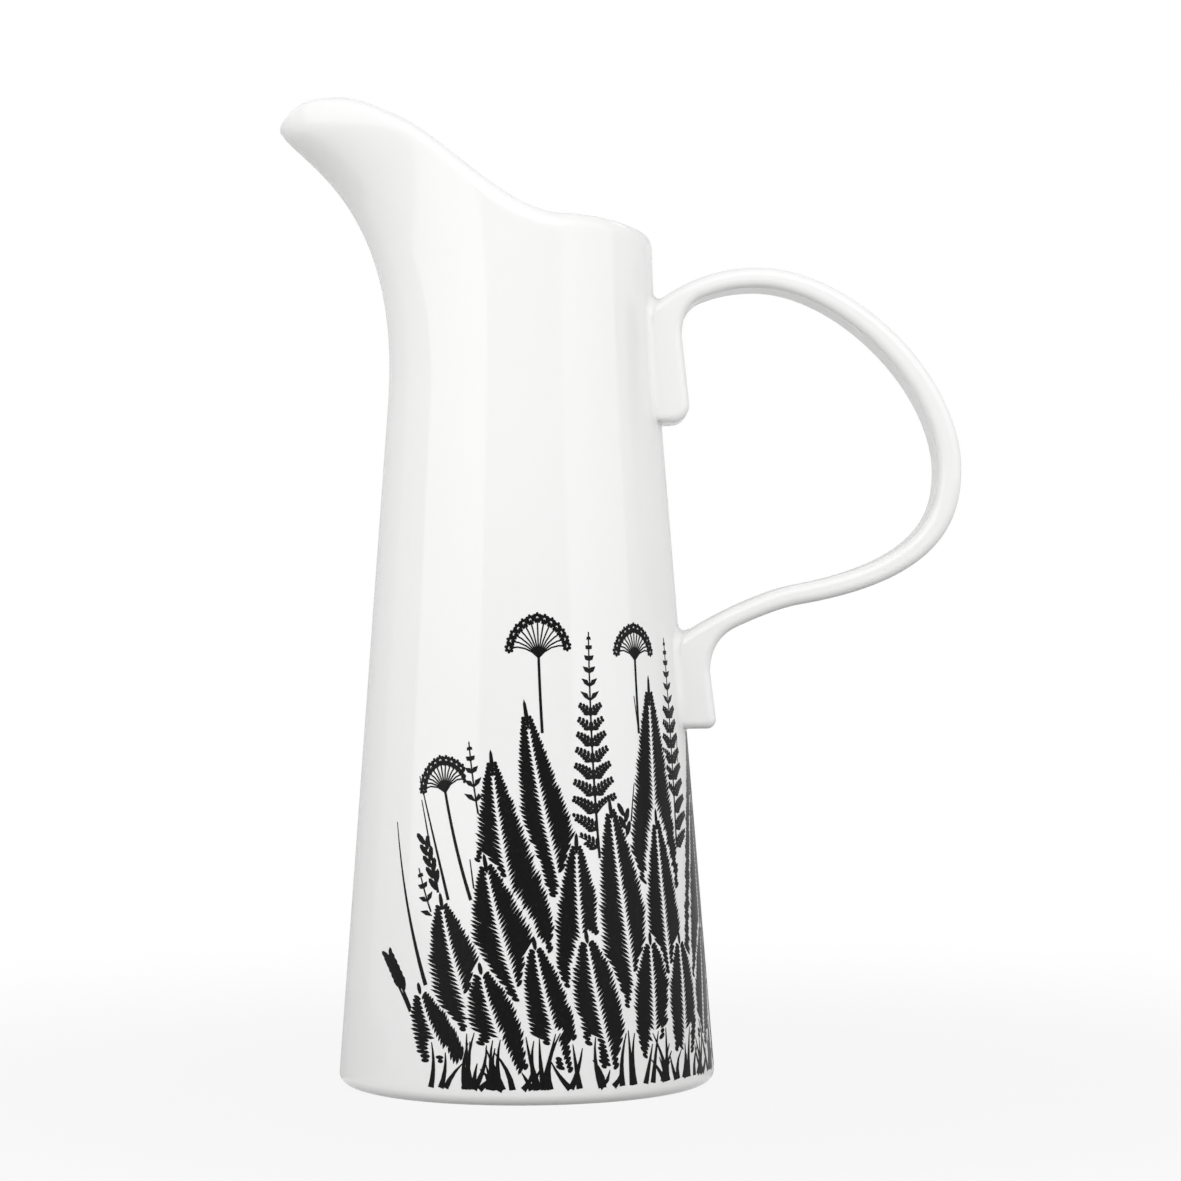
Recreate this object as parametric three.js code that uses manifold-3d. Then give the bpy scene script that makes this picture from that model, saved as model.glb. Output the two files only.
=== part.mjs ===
// Tall bone-china jug: a tapered slip-cast body whose front is drawn out into a high pouring spout,
// and a separately cast strap handle whose two turned-down pads are stuck to the wall with slip.
// Millimetres, +Z up. The jug stands on Z = 0, with the spout towards -X and the handle towards +X.

import * as THREE from 'three';
import { LoftGeometry } from 'three/addons/geometries/LoftGeometry.js';
import { mergeVertices } from 'three/addons/utils/BufferGeometryUtils.js';
import Module from 'manifold-3d';

// Body: a cone that bends softly into an upright neck
const BASE_RADIUS = 53.9; // the cone's line where it meets the standing plane
const NECK_RADIUS = 36.4; // the upright wall beside the spout
const SHOULDER_HEIGHT = 228; // where the cone's line would meet the neck's
const SHOULDER_EASE = 40; // height of the soft bend, below the shoulder and above it
const WALL = 3.6;
const FLOOR = 5.2; // top of the floor inside
const FLOOR_FILLET = 8; // inside, between floor and wall
const FOOT_ROUND = 3.2; // outer bottom edge
const FOOT_RING_WIDTH = 4.5; // flat ring that the jug stands on
const FOOT_RECESS = 1.8; // height of the underside inside the ring
const FOOT_SLOPE = 2.5; // width of the slope from the ring up to the underside

// Rim, seen from the side: it rises gently from the back, climbs along the sides to the spout's top
// and dips at the pouring tip. Places along it are distances from the body's axis.
const RIM_BACK_HEIGHT = 240.6;
const RIM_SIDE_HEIGHT = 245;
const RIM_TOP_HEIGHT = 279.6;
const CLIMB_START = 13; // behind the axis
const CLIMB_END = 54.5; // in front of the axis
const DIP_START = 56; // in front of the axis
const LIP_DIP = 6;

// Spout: its front line, the keel, leaves the body and sweeps out to an upright lip
const SPOUT_SPRING = 195; // height where the keel leaves the body
const SPOUT_REACH = 70; // from the body's axis to the lip
const KEEL_RISE = 0.78; // share of the keel's height over which it still follows the body
const KEEL_TURN = 0.105; // share over which it turns upright again at the lip

// Handle: a strap, thickest at the grip, along a middle line of four bends.
// Places on the line are distances from the body's axis and heights.
const STRAP_WIDTH = 26;
const GRIP_THICKNESS = 6.4;
const ROOT_THICKNESS = 5.4;
const EDGE_ROUND = 2.5;
const GRIP_OUT = 121.2; // the line's furthest point
const GRIP_HEIGHT = 174.4;
const CROWN_OUT = 66.4; // the line's highest point
const CROWN_HEIGHT = 229.1;
const SWEEP_OUT = 77.2; // middle of the lower run
const SWEEP_HEIGHT = 138.9;
const SWEEP_SLOPE = THREE.MathUtils.degToRad(9.7);
const UPPER_ROOT_HEIGHT = 218.5; // where the line enters the wall
const LOWER_ROOT_HEIGHT = 123.6;
const ROOT_SLOPE = THREE.MathUtils.degToRad(39);

// How far the line runs straight on from the start of each bend, and straight into its end, as shares
// of the distance between the two
const CROWN_BEND = [0.17, 0.5]; // upper root to crown
const GRIP_BEND = [0.325, 0.325]; // crown to grip
const SWEEP_BEND = [0.245, 0.69]; // grip to lower run
const ROOT_BEND = [0.2, 0.3]; // lower run to lower root

// Pads: the strap's ends, turned down along the wall
const UPPER_PAD_THICKNESS = 7.2; // from the wall to the pad's face, under the strap
const LOWER_PAD_THICKNESS = 7.8;
const UPPER_PAD_FLARE = 1.1; // how much thicker the pad is at its end
const LOWER_PAD_FLARE = 0.7;
const UPPER_PAD_END = 188;
const LOWER_PAD_END = 101;
const UPPER_PAD_CORNER = 5;
const LOWER_PAD_CORNER = 2.7;
const UPPER_THROAT = 6; // bend between pad and strap, along the strap
const LOWER_THROAT = 8;
const UPPER_THROAT_DROP = 6; // and along the pad, down from the root
const LOWER_THROAT_DROP = 6.5;

// Joints: a film of slip between each pad and the wall, squeezed out a little all round
const SLIP = 0.8;
const SLIP_BEAD = 1.2;
const SEAT_GAP = 0.3; // between touching pieces

// Facets
const AROUND = 64;
const WALL_RINGS = 18;
const INSIDE_RINGS = 16;
const ROUND_STEPS = 5; // steps in each small round
const STRAP_STEPS = 44;
const RING_CROWDING = 1.6; // above 1, the wall's rings lie closer together towards the rim
const EPSILON = 0.01; // step for measuring a slope
const CLOSE_ENOUGH = 1e-7; // for a place found by halving

const wasm = await Module();
wasm.setup();

function solidOf(geometry) {
  const bare = new THREE.BufferGeometry();
  bare.setAttribute('position', geometry.attributes.position);
  bare.setIndex(geometry.index);
  const merged = mergeVertices(bare);
  const vertProperties = merged.attributes.position.array;
  const triVerts = new Uint32Array(merged.index.array);
  return new wasm.Manifold(new wasm.Mesh({ numProp: 3, vertProperties, triVerts }));
}

function geometryOf(solid) {
  const { vertProperties, triVerts } = solid.getMesh();
  const geometry = new THREE.BufferGeometry();
  geometry.setAttribute('position', new THREE.BufferAttribute(vertProperties, 3));
  geometry.setIndex(new THREE.BufferAttribute(triVerts, 1));
  geometry.computeVertexNormals();
  return geometry;
}

// The outer wall

function bodyRadius(height) {
  const taper = (BASE_RADIUS - NECK_RADIUS) / SHOULDER_HEIGHT;
  const bend = height - (SHOULDER_HEIGHT - SHOULDER_EASE);
  if (bend <= 0) return BASE_RADIUS - taper * height;
  if (bend >= 2 * SHOULDER_EASE) return NECK_RADIUS;
  return BASE_RADIUS - taper * height + (taper * bend * bend) / (4 * SHOULDER_EASE);
}

function rimLine(x) {
  if (x > CLIMB_START) {
    const share = (x - CLIMB_START) / (NECK_RADIUS - CLIMB_START);
    return THREE.MathUtils.lerp(RIM_SIDE_HEIGHT, RIM_BACK_HEIGHT, share ** 2);
  }
  const climb = THREE.MathUtils.smoothstep(-x, -CLIMB_START, CLIMB_END);
  const dip = Math.max(0, (-x - DIP_START) / (SPOUT_REACH - DIP_START));
  return THREE.MathUtils.lerp(RIM_SIDE_HEIGHT, RIM_TOP_HEIGHT, climb) - LIP_DIP * dip ** 3;
}

// The value between two limits at which a rising function passes zero.
function passesZero(rising, low, high) {
  while (high - low > CLOSE_ENOUGH) {
    const middle = (low + high) / 2;
    if (rising(middle) < 0) low = middle;
    else high = middle;
  }
  return low;
}

function keelCurve() {
  const top = RIM_TOP_HEIGHT - LIP_DIP;
  const height = top - SPOUT_SPRING;
  const springRadius = bodyRadius(SPOUT_SPRING);
  const slope = (bodyRadius(SPOUT_SPRING + EPSILON) - springRadius) / EPSILON;
  const rise = KEEL_RISE * height;
  return new THREE.CubicBezierCurve(
    new THREE.Vector2(springRadius, SPOUT_SPRING),
    new THREE.Vector2(springRadius + slope * rise, SPOUT_SPRING + rise),
    new THREE.Vector2(SPOUT_REACH, top - KEEL_TURN * height),
    new THREE.Vector2(SPOUT_REACH, top),
  );
}

const keel = keelCurve();

// How far the front of the wall stands from the axis.
function frontReach(height) {
  if (height <= keel.v0.y) return bodyRadius(height);
  if (height >= keel.v3.y) return keel.v3.x;
  return keel.getPoint(passesZero((t) => keel.getPoint(t).y - height, 0, 1)).x;
}

// Each level section is round behind, and is drawn out more and more towards the front.
function outerWall(angle, height) {
  const side = bodyRadius(height);
  const forward = THREE.MathUtils.smoothstep(-Math.cos(angle), 0, 1);
  const reach = THREE.MathUtils.lerp(side, frontReach(height), forward);
  return new THREE.Vector3(reach * Math.cos(angle), side * Math.sin(angle), height);
}

function wallNormal(angle, height) {
  const along = outerWall(angle + EPSILON, height).sub(outerWall(angle - EPSILON, height));
  const up = outerWall(angle, height + EPSILON).sub(outerWall(angle, height - EPSILON));
  return along.cross(up).normalize();
}

function wallPoint(angle, height, outwards) {
  return outerWall(angle, height).addScaledVector(wallNormal(angle, height), outwards);
}

// Rings of points around the axis

function ring(pointAt) {
  return Array.from({ length: AROUND }, (_, i) => pointAt((i / AROUND) * 2 * Math.PI));
}

function roundRing(radius, height) {
  return ring((angle) => new THREE.Vector3(radius * Math.cos(angle), radius * Math.sin(angle), height));
}

// Rings on the wall from a level height up to the lip, closer together where the spout bends.
function wallRings(bottom, count, outwards) {
  return Array.from({ length: count + 1 }, (_, i) => {
    const share = 1 - (1 - i / count) ** RING_CROWDING;
    return ring((angle) => {
      const height = THREE.MathUtils.lerp(bottom, lipStart(angle), share);
      return wallPoint(angle, height, outwards);
    });
  });
}

// Height where the rim line cuts the wall, less the lip's own rounding.
function lipStart(angle) {
  const aboveRim = (height) => height - rimLine(outerWall(angle, height).x);
  return passesZero(aboveRim, SPOUT_SPRING, RIM_TOP_HEIGHT) - WALL / 2;
}

// The lip is a half round from the outer wall over to the inner one, square to the run of the rim.
function lipRings() {
  const rimPoint = (angle) => wallPoint(angle, lipStart(angle), -WALL / 2);
  return Array.from({ length: ROUND_STEPS }, (_, i) => {
    const turn = ((i + 1) / (ROUND_STEPS + 1)) * Math.PI;
    return ring((angle) => {
      const out = wallNormal(angle, lipStart(angle));
      const run = rimPoint(angle + EPSILON).sub(rimPoint(angle - EPSILON));
      const over = out.clone().cross(run).normalize();
      const point = rimPoint(angle);
      point.addScaledVector(out, (Math.cos(turn) * WALL) / 2);
      return point.addScaledVector(over, (Math.sin(turn) * WALL) / 2);
    });
  });
}

function footRings() {
  const standing = bodyRadius(FOOT_ROUND) - FOOT_ROUND;
  const ringInside = standing - FOOT_RING_WIDTH;
  const rings = [
    roundRing(0, FOOT_RECESS),
    roundRing(ringInside - FOOT_SLOPE, FOOT_RECESS),
    roundRing(ringInside, 0),
  ];
  for (let i = 0; i < ROUND_STEPS; i++) {
    const turn = (i / ROUND_STEPS) * (Math.PI / 2);
    rings.push(roundRing(standing + FOOT_ROUND * Math.sin(turn), FOOT_ROUND * (1 - Math.cos(turn))));
  }
  return rings;
}

function floorRings() {
  const start = FLOOR + FLOOR_FILLET;
  const flat = wallPoint(0, start, -WALL).x - FLOOR_FILLET;
  return Array.from({ length: ROUND_STEPS }, (_, i) => {
    const turn = ((i + 1) / ROUND_STEPS) * (Math.PI / 2);
    return roundRing(flat + FLOOR_FILLET * Math.cos(turn), start - FLOOR_FILLET * Math.sin(turn));
  });
}

// One skin, from the middle of the underside over the lip to the middle of the floor.
function bodyGeometry() {
  return new LoftGeometry([
    ...footRings(),
    ...wallRings(FOOT_ROUND, WALL_RINGS, 0),
    ...lipRings(),
    ...wallRings(FLOOR + FLOOR_FILLET, INSIDE_RINGS, -WALL).reverse(),
    ...floorRings(),
    roundRing(0, FLOOR),
  ]);
}

// The body's outside, grown by a distance and filled, up to the level rim.
function grownBody(outwards) {
  const rings = Array.from({ length: WALL_RINGS + 1 }, (_, i) => {
    const height = THREE.MathUtils.lerp(FOOT_ROUND, RIM_BACK_HEIGHT, i / WALL_RINGS);
    return ring((angle) => wallPoint(angle, height, outwards));
  });
  return solidOf(new LoftGeometry(rings, { capStart: true, capEnd: true }));
}

// Handle, drawn from the side: X is the distance from the body's axis, Y the height

function bend(start, startWay, end, endWay, [straightOn, straightIn]) {
  const span = start.distanceTo(end);
  return new THREE.CubicBezierCurve(
    start,
    start.clone().addScaledVector(startWay, straightOn * span),
    end.clone().addScaledVector(endWay, -straightIn * span),
    end,
  );
}

function strapLine() {
  const upperRoot = new THREE.Vector2(bodyRadius(UPPER_ROOT_HEIGHT), UPPER_ROOT_HEIGHT);
  const crown = new THREE.Vector2(CROWN_OUT, CROWN_HEIGHT);
  const grip = new THREE.Vector2(GRIP_OUT, GRIP_HEIGHT);
  const sweep = new THREE.Vector2(SWEEP_OUT, SWEEP_HEIGHT);
  const lowerRoot = new THREE.Vector2(bodyRadius(LOWER_ROOT_HEIGHT), LOWER_ROOT_HEIGHT);
  const out = new THREE.Vector2(1, 0);
  const down = new THREE.Vector2(0, -1);
  const leaving = new THREE.Vector2(Math.cos(ROOT_SLOPE), Math.sin(ROOT_SLOPE));
  const entering = leaving.clone().negate();
  const back = new THREE.Vector2(-Math.cos(SWEEP_SLOPE), -Math.sin(SWEEP_SLOPE));
  const line = new THREE.CurvePath();
  line.add(bend(upperRoot, leaving, crown, out, CROWN_BEND));
  line.add(bend(crown, out, grip, down, GRIP_BEND));
  line.add(bend(grip, down, sweep, back, SWEEP_BEND));
  line.add(bend(sweep, back, lowerRoot, entering, ROOT_BEND));
  return line;
}

// Points along one face of the strap, from the upper root: side 1 is the outer face, -1 the inner.
function strapFace(line, side) {
  return Array.from({ length: STRAP_STEPS + 1 }, (_, i) => {
    const share = i / STRAP_STEPS;
    const way = line.getTangent(share);
    const out = new THREE.Vector2(-way.y, way.x);
    const thickness = THREE.MathUtils.lerp(ROOT_THICKNESS, GRIP_THICKNESS, Math.sin(share * Math.PI) ** 2);
    return line.getPoint(share).addScaledVector(out, (side * thickness) / 2);
  });
}

// From the end of a strap face, round the throat, down the pad's face, round its corner, into the wall.
function drawPad(outline, [before, last], pad) {
  const face = (height) => {
    const share = (pad.top - height) / (pad.top - pad.end);
    return bodyRadius(height) + pad.thickness + pad.flare * share;
  };
  const topOut = face(pad.top);
  const strapSlope = (last.y - before.y) / (last.x - before.x);
  const throatHeight = last.y + strapSlope * (topOut - last.x);
  outline.quadraticCurveTo(topOut, throatHeight, topOut, pad.top);
  const lean = Math.atan((face(pad.end) - topOut) / (pad.top - pad.end));
  const middleHeight = pad.end + pad.corner;
  const middleOut = face(middleHeight + pad.corner * Math.sin(lean)) - pad.corner * Math.cos(lean);
  outline.absarc(middleOut, middleHeight, pad.corner, lean, -Math.PI / 2, true);
  outline.lineTo(bodyRadius(pad.end) - pad.thickness, pad.end);
}

function handleOutline() {
  const line = strapLine();
  const lowerThroat = bodyRadius(LOWER_ROOT_HEIGHT) + LOWER_PAD_THICKNESS + LOWER_THROAT;
  const upperThroat = bodyRadius(UPPER_ROOT_HEIGHT) + UPPER_PAD_THICKNESS + UPPER_THROAT;
  const outer = strapFace(line, 1).filter((p) => p.y > GRIP_HEIGHT || p.x > lowerThroat);
  const inner = strapFace(line, -1).filter((p) => p.y < GRIP_HEIGHT || p.x > upperThroat);
  inner.reverse();
  const outline = new THREE.Shape();
  outline.setFromPoints(outer);
  drawPad(outline, outer.slice(-2), {
    top: LOWER_ROOT_HEIGHT - LOWER_THROAT_DROP,
    end: LOWER_PAD_END,
    thickness: LOWER_PAD_THICKNESS,
    flare: LOWER_PAD_FLARE,
    corner: LOWER_PAD_CORNER,
  });
  for (const point of inner) outline.lineTo(point.x, point.y);
  drawPad(outline, inner.slice(-2), {
    top: UPPER_ROOT_HEIGHT - UPPER_THROAT_DROP,
    end: UPPER_PAD_END,
    thickness: UPPER_PAD_THICKNESS,
    flare: UPPER_PAD_FLARE,
    corner: UPPER_PAD_CORNER,
  });
  outline.closePath();
  return outline;
}

function handleGeometry() {
  const depth = STRAP_WIDTH - 2 * EDGE_ROUND;
  const blank = new THREE.ExtrudeGeometry(handleOutline(), {
    depth,
    curveSegments: ROUND_STEPS,
    bevelThickness: EDGE_ROUND,
    bevelSize: EDGE_ROUND,
    bevelOffset: -EDGE_ROUND,
    bevelSegments: ROUND_STEPS - 1,
  });
  blank.translate(0, 0, -depth / 2);
  blank.rotateX(Math.PI / 2);
  return geometryOf(solidOf(blank).subtract(grownBody(SLIP + 2 * SEAT_GAP)));
}

// Slip film behind a pad and the root above it: their outline and a bead round it, cut from a shell
// around the body.
function slipGeometry(padEnd, rootHeight) {
  const rootTop = rootHeight + ROOT_THICKNESS / 2 / Math.cos(ROOT_SLOPE);
  const halfWidth = STRAP_WIDTH / 2 + SLIP_BEAD;
  const low = padEnd - SLIP_BEAD;
  const high = rootTop + SLIP_BEAD;
  const corner = EDGE_ROUND + SLIP_BEAD;
  const outline = new THREE.Shape();
  outline.absarc(halfWidth - corner, high - corner, corner, 0, Math.PI / 2);
  outline.absarc(corner - halfWidth, high - corner, corner, Math.PI / 2, Math.PI);
  outline.absarc(corner - halfWidth, low + corner, corner, Math.PI, 1.5 * Math.PI);
  outline.absarc(halfWidth - corner, low + corner, corner, 1.5 * Math.PI, 2 * Math.PI);
  const blank = new THREE.ExtrudeGeometry(outline, {
    depth: 2 * BASE_RADIUS,
    curveSegments: ROUND_STEPS,
    bevelEnabled: false,
  });
  // The outline's X and Y become the jug's Y and Z, and its depth the jug's X.
  const toJug = new THREE.Matrix4();
  toJug.makeBasis(new THREE.Vector3(0, 1, 0), new THREE.Vector3(0, 0, 1), new THREE.Vector3(1, 0, 0));
  blank.applyMatrix4(toJug);
  const film = solidOf(blank).intersect(grownBody(SEAT_GAP + SLIP));
  return geometryOf(film.subtract(grownBody(SEAT_GAP)));
}

// The assembly

const glazedChina = new THREE.MeshStandardMaterial({ color: 0xf4f4f1, roughness: 0.12, metalness: 0 });
const firedSlip = new THREE.MeshStandardMaterial({ color: 0xefeeea, roughness: 0.2, metalness: 0 });

function piece(name, geometry, material) {
  const mesh = new THREE.Mesh(geometry, material);
  mesh.name = name;
  return mesh;
}

const jug = new THREE.Group();
jug.add(piece('jug_body', bodyGeometry(), glazedChina));
jug.add(piece('handle', handleGeometry(), glazedChina));
jug.add(piece('upper_slip_joint', slipGeometry(UPPER_PAD_END, UPPER_ROOT_HEIGHT), firedSlip));
jug.add(piece('lower_slip_joint', slipGeometry(LOWER_PAD_END, LOWER_ROOT_HEIGHT), firedSlip));

// The origin lies on the standing plane, under the middle of the overall length.
const box = new THREE.Box3().setFromObject(jug);
jug.position.x = -(box.min.x + box.max.x) / 2;

export default jug;
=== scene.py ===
"""A tall bone-china jug with a black leaf print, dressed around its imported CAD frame.

Metres, +Z up: the spout points to -X, the handle to +X, and the camera looks along +Y.
"""

import functools
import math
import random

import bmesh
import bpy
from mathutils import Matrix, Vector


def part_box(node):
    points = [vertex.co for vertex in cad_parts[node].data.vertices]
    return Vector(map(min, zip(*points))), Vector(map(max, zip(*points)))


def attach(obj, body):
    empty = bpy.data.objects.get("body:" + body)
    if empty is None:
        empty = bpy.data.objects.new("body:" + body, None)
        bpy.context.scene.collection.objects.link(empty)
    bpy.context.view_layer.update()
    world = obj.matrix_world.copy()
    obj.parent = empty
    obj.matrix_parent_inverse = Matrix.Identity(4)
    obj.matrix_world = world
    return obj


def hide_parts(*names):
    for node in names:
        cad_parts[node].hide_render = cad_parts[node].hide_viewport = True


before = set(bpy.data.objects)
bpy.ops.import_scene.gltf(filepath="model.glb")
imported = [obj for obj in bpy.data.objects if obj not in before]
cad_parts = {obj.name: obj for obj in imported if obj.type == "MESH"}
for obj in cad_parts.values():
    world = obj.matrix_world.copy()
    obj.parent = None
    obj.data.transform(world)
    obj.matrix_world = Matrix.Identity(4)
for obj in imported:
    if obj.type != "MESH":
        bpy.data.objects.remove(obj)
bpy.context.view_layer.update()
MM = 0.001

# The body, in the CAD model's sizes. Only the rim is a little higher, because its lip is rounder here.
BASE_RADIUS = 53.9 * MM
NECK_RADIUS = 36.4 * MM
SHOULDER_HEIGHT = 228 * MM
SHOULDER_EASE = 40 * MM
WALL = 3.6 * MM
FLOOR = 5.2 * MM
FLOOR_FILLET = 8 * MM
LIP_OUTER = 2.9 * MM  # how far in from the outside the lip is highest
LIP_RISE_BACK = 4.2 * MM
LIP_RISE_SPOUT = 1.8 * MM
FOOT_ROUND = 3.2 * MM
FOOT_RING_WIDTH = 4.5 * MM
FOOT_RECESS = 1.8 * MM
FOOT_SLOPE = 2.5 * MM
RING_EDGE = 0.6 * MM  # the foot ring's inner edge, worn soft
RIM_BACK_HEIGHT = 242.4 * MM
RIM_SIDE_HEIGHT = 245.5 * MM
RIM_TOP_HEIGHT = 279.6 * MM
CLIMB_START = 13 * MM
CLIMB_END = 54.5 * MM
DIP_START = 56 * MM
LIP_DIP = 6 * MM
SPOUT_SPRING = 195 * MM
SPOUT_REACH = 70 * MM
KEEL_RISE = 0.78
KEEL_TURN = 0.105
PULL_FROM = 150 * MM  # below this height the turned wall is left as it is

# The handle, in the CAD model's sizes
STRAP_WIDTH = 26 * MM
GRIP_THICKNESS = 6.4 * MM
ROOT_THICKNESS = 5.4 * MM
EDGE_ROUND = 2.5 * MM
GRIP_OUT = 121.15 * MM  # a little inside the CAD grip, whose facets cut its curve short
GRIP_HEIGHT = 174.4 * MM
CROWN_OUT = 66.4 * MM
CROWN_HEIGHT = 229.1 * MM
SWEEP_OUT = 77.2 * MM
SWEEP_HEIGHT = 138.9 * MM
SWEEP_SLOPE = math.radians(9.7)
ROOT_SLOPE = math.radians(39)
CROWN_BEND = (0.17, 0.5)
GRIP_BEND = (0.325, 0.325)
SWEEP_BEND = (0.245, 0.69)
ROOT_BEND = (0.2, 0.3)
UPPER_PAD = {
    "root": 218.5 * MM, "end": 188 * MM, "thickness": 7.2 * MM, "flare": 1.1 * MM,
    "corner": 5 * MM, "throat": 6 * MM, "drop": 6 * MM,
}
LOWER_PAD = {
    "root": 123.6 * MM, "end": 101 * MM, "thickness": 7.8 * MM, "flare": 0.7 * MM,
    "corner": 2.7 * MM, "throat": 8 * MM, "drop": 6.5 * MM,
}
PAD_SINK = 2 * MM  # how deep the pads reach into the wall
ROOT_SINK = 2 * PAD_SINK  # how far the strap's outline runs on into the wall
END_SINK = 3 * PAD_SINK  # and the outline of a pad's lower end
SIDE_FILLET = 3.4 * MM  # hollow of slip and glaze along the pads' sides
END_FILLET = 1.2 * MM  # at their lower ends
ROOT_FILLET = 1.9 * MM  # and in the notch above them
FILLET_TAPER = 9 * MM  # the way from one to the other
FILLET_SINK = 0.6 * MM  # how deep the fillet's hidden back lies in the wall and the pad
CORNER_EASE = 0.12  # share of a pad's side over which the way out of it turns to the next side

# Mesh steps
AROUND = 256
WALL_STEP = 1.6 * MM
ROUND_STEPS = 8
LONG_ROUND_STEPS = 2 * ROUND_STEPS  # over the lip and round a throat
STRAP_STEPS = 36  # along each of the strap's four bends
STRAP_CUTS = (-0.3, -0.15, 0, 0.15, 0.3)  # shares of the width, cut so that the pads follow the wall
FILLET_AROUND = 160
FILLET_STEPS = 16
FILLET_SETTLING = 6  # rounds in which a fillet comes to touch both the wall and the pad
SLOPE_STEP = 0.02 * MM
LIP_TURN = math.tau / (8 * AROUND)  # an eighth of a facet, for slopes along the rim
HALVINGS = 30
MERGE_DISTANCE = 0.001 * MM
UNIT_HALF = 0.5  # half of a grid or a circle that measures 1 across
SHARP_ANGLE = math.radians(40)  # the shading breaks at sharper edges
LARGE_FACE_WEIGHT = 100  # the most: the handle's large faces decide its shading


def smoothstep(value, low, high):
    share = min(max((value - low) / (high - low), 0), 1)
    return share * share * (3 - 2 * share)


def lerp(a, b, share):
    return a + (b - a) * share


def quadratic(a, b, c, t):
    """A point on a quadratic Bezier curve."""
    return a * (1 - t) ** 2 + b * 2 * t * (1 - t) + c * t * t


def cubic(points, t):
    """A point, or one coordinate, on a cubic Bezier curve."""
    a, b, c, d = points
    u = 1 - t
    return a * u**3 + b * 3 * u * u * t + c * 3 * u * t * t + d * t**3


def passes_zero(rising, low, high):
    """Where a rising function passes zero."""
    for _ in range(HALVINGS):
        middle = (low + high) / 2
        if rising(middle) < 0:
            low = middle
        else:
            high = middle
    return low


# The outside of the body, about its own axis


def body_radius(height):
    """Radius of the turned wall: a straight taper that eases into an upright neck."""
    taper = (BASE_RADIUS - NECK_RADIUS) / SHOULDER_HEIGHT
    bend = height - (SHOULDER_HEIGHT - SHOULDER_EASE)
    if bend <= 0:
        return BASE_RADIUS - taper * height
    if bend >= 2 * SHOULDER_EASE:
        return NECK_RADIUS
    return BASE_RADIUS - taper * height + taper * bend * bend / (4 * SHOULDER_EASE)


# The axis stands where the CAD body's widest ring puts it.
AXIS_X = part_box("jug_body")[1].x - body_radius(FOOT_ROUND)


def rim_line(x):
    """Height of the rim in side view, at a distance x behind the body's axis."""
    if x > CLIMB_START:
        share = (x - CLIMB_START) / (NECK_RADIUS - CLIMB_START)
        return lerp(RIM_SIDE_HEIGHT, RIM_BACK_HEIGHT, share**2)
    climb = smoothstep(-x, -CLIMB_START, CLIMB_END)
    dip = max(0, (-x - DIP_START) / (SPOUT_REACH - DIP_START))
    return lerp(RIM_SIDE_HEIGHT, RIM_TOP_HEIGHT, climb) - LIP_DIP * dip**3


def keel_curve():
    """The spout's front line as reaches and heights."""
    top = RIM_TOP_HEIGHT - LIP_DIP
    rise = KEEL_RISE * (top - SPOUT_SPRING)
    foot = body_radius(SPOUT_SPRING)
    slope = (body_radius(SPOUT_SPRING + SLOPE_STEP) - foot) / SLOPE_STEP
    reaches = (foot, foot + slope * rise, SPOUT_REACH, SPOUT_REACH)
    heights = (SPOUT_SPRING, SPOUT_SPRING + rise, top - KEEL_TURN * (top - SPOUT_SPRING), top)
    return reaches, heights


KEEL_REACHES, KEEL_HEIGHTS = keel_curve()


def front_reach(height):
    if height <= KEEL_HEIGHTS[0]:
        return body_radius(height)
    if height >= KEEL_HEIGHTS[-1]:
        return SPOUT_REACH
    t = passes_zero(lambda t: cubic(KEEL_HEIGHTS, t) - height, 0, 1)
    return cubic(KEEL_REACHES, t)


def outer_wall(angle, height):
    """A point of the outside about the body's axis: angle 0 is the handle's side, pi the spout's."""
    side = body_radius(height)
    forward = smoothstep(-math.cos(angle), 0, 1)
    reach = lerp(side, front_reach(height), forward) if forward else side
    return Vector((reach * math.cos(angle), side * math.sin(angle), height))


def wall_normal(angle, height):
    turn = SLOPE_STEP / BASE_RADIUS
    along = outer_wall(angle + turn, height) - outer_wall(angle - turn, height)
    up = outer_wall(angle, height + SLOPE_STEP) - outer_wall(angle, height - SLOPE_STEP)
    return along.cross(up).normalized()


def rim_point(angle):
    """Where the outer wall meets the rim line."""

    def above_rim(height):
        return height - rim_line(outer_wall(angle, height).x)

    return outer_wall(angle, passes_zero(above_rim, SPOUT_SPRING, RIM_TOP_HEIGHT))


def lip_rise(angle):
    """How high the lip's rounding stands: the spout's lip is sharper, to pour cleanly."""
    return lerp(LIP_RISE_BACK, LIP_RISE_SPOUT, smoothstep(-math.cos(angle), 0, 1))


@functools.lru_cache(maxsize=None)
def lip_start(angle):
    """Height where the lip's rounding starts, under the rim line."""
    run = rim_point(angle + LIP_TURN) - rim_point(angle - LIP_TURN)
    slope = run.z / math.hypot(run.x, run.y)
    return rim_point(angle).z - lip_rise(angle) * math.hypot(1, slope)


def lip_foot(angle):
    """The point of the outer wall where the lip's rounding starts."""
    return outer_wall(angle, lip_start(angle))


@functools.lru_cache(maxsize=None)
def lip_frame(angle):
    """The lip's foot, and the directions out of the wall and up over the rim there."""
    out = wall_normal(angle, lip_start(angle))
    run = lip_foot(angle + LIP_TURN) - lip_foot(angle - LIP_TURN)
    return lip_foot(angle), out, out.cross(run).normalized()


# Objects


def linked(name, bm, material):
    """The mesh as an object in the scene."""
    mesh = bpy.data.meshes.new(name)
    bm.to_mesh(mesh)
    bm.free()
    mesh.materials.append(material)
    piece = bpy.data.objects.new(name, mesh)
    bpy.context.scene.collection.objects.link(piece)
    return piece


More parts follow.
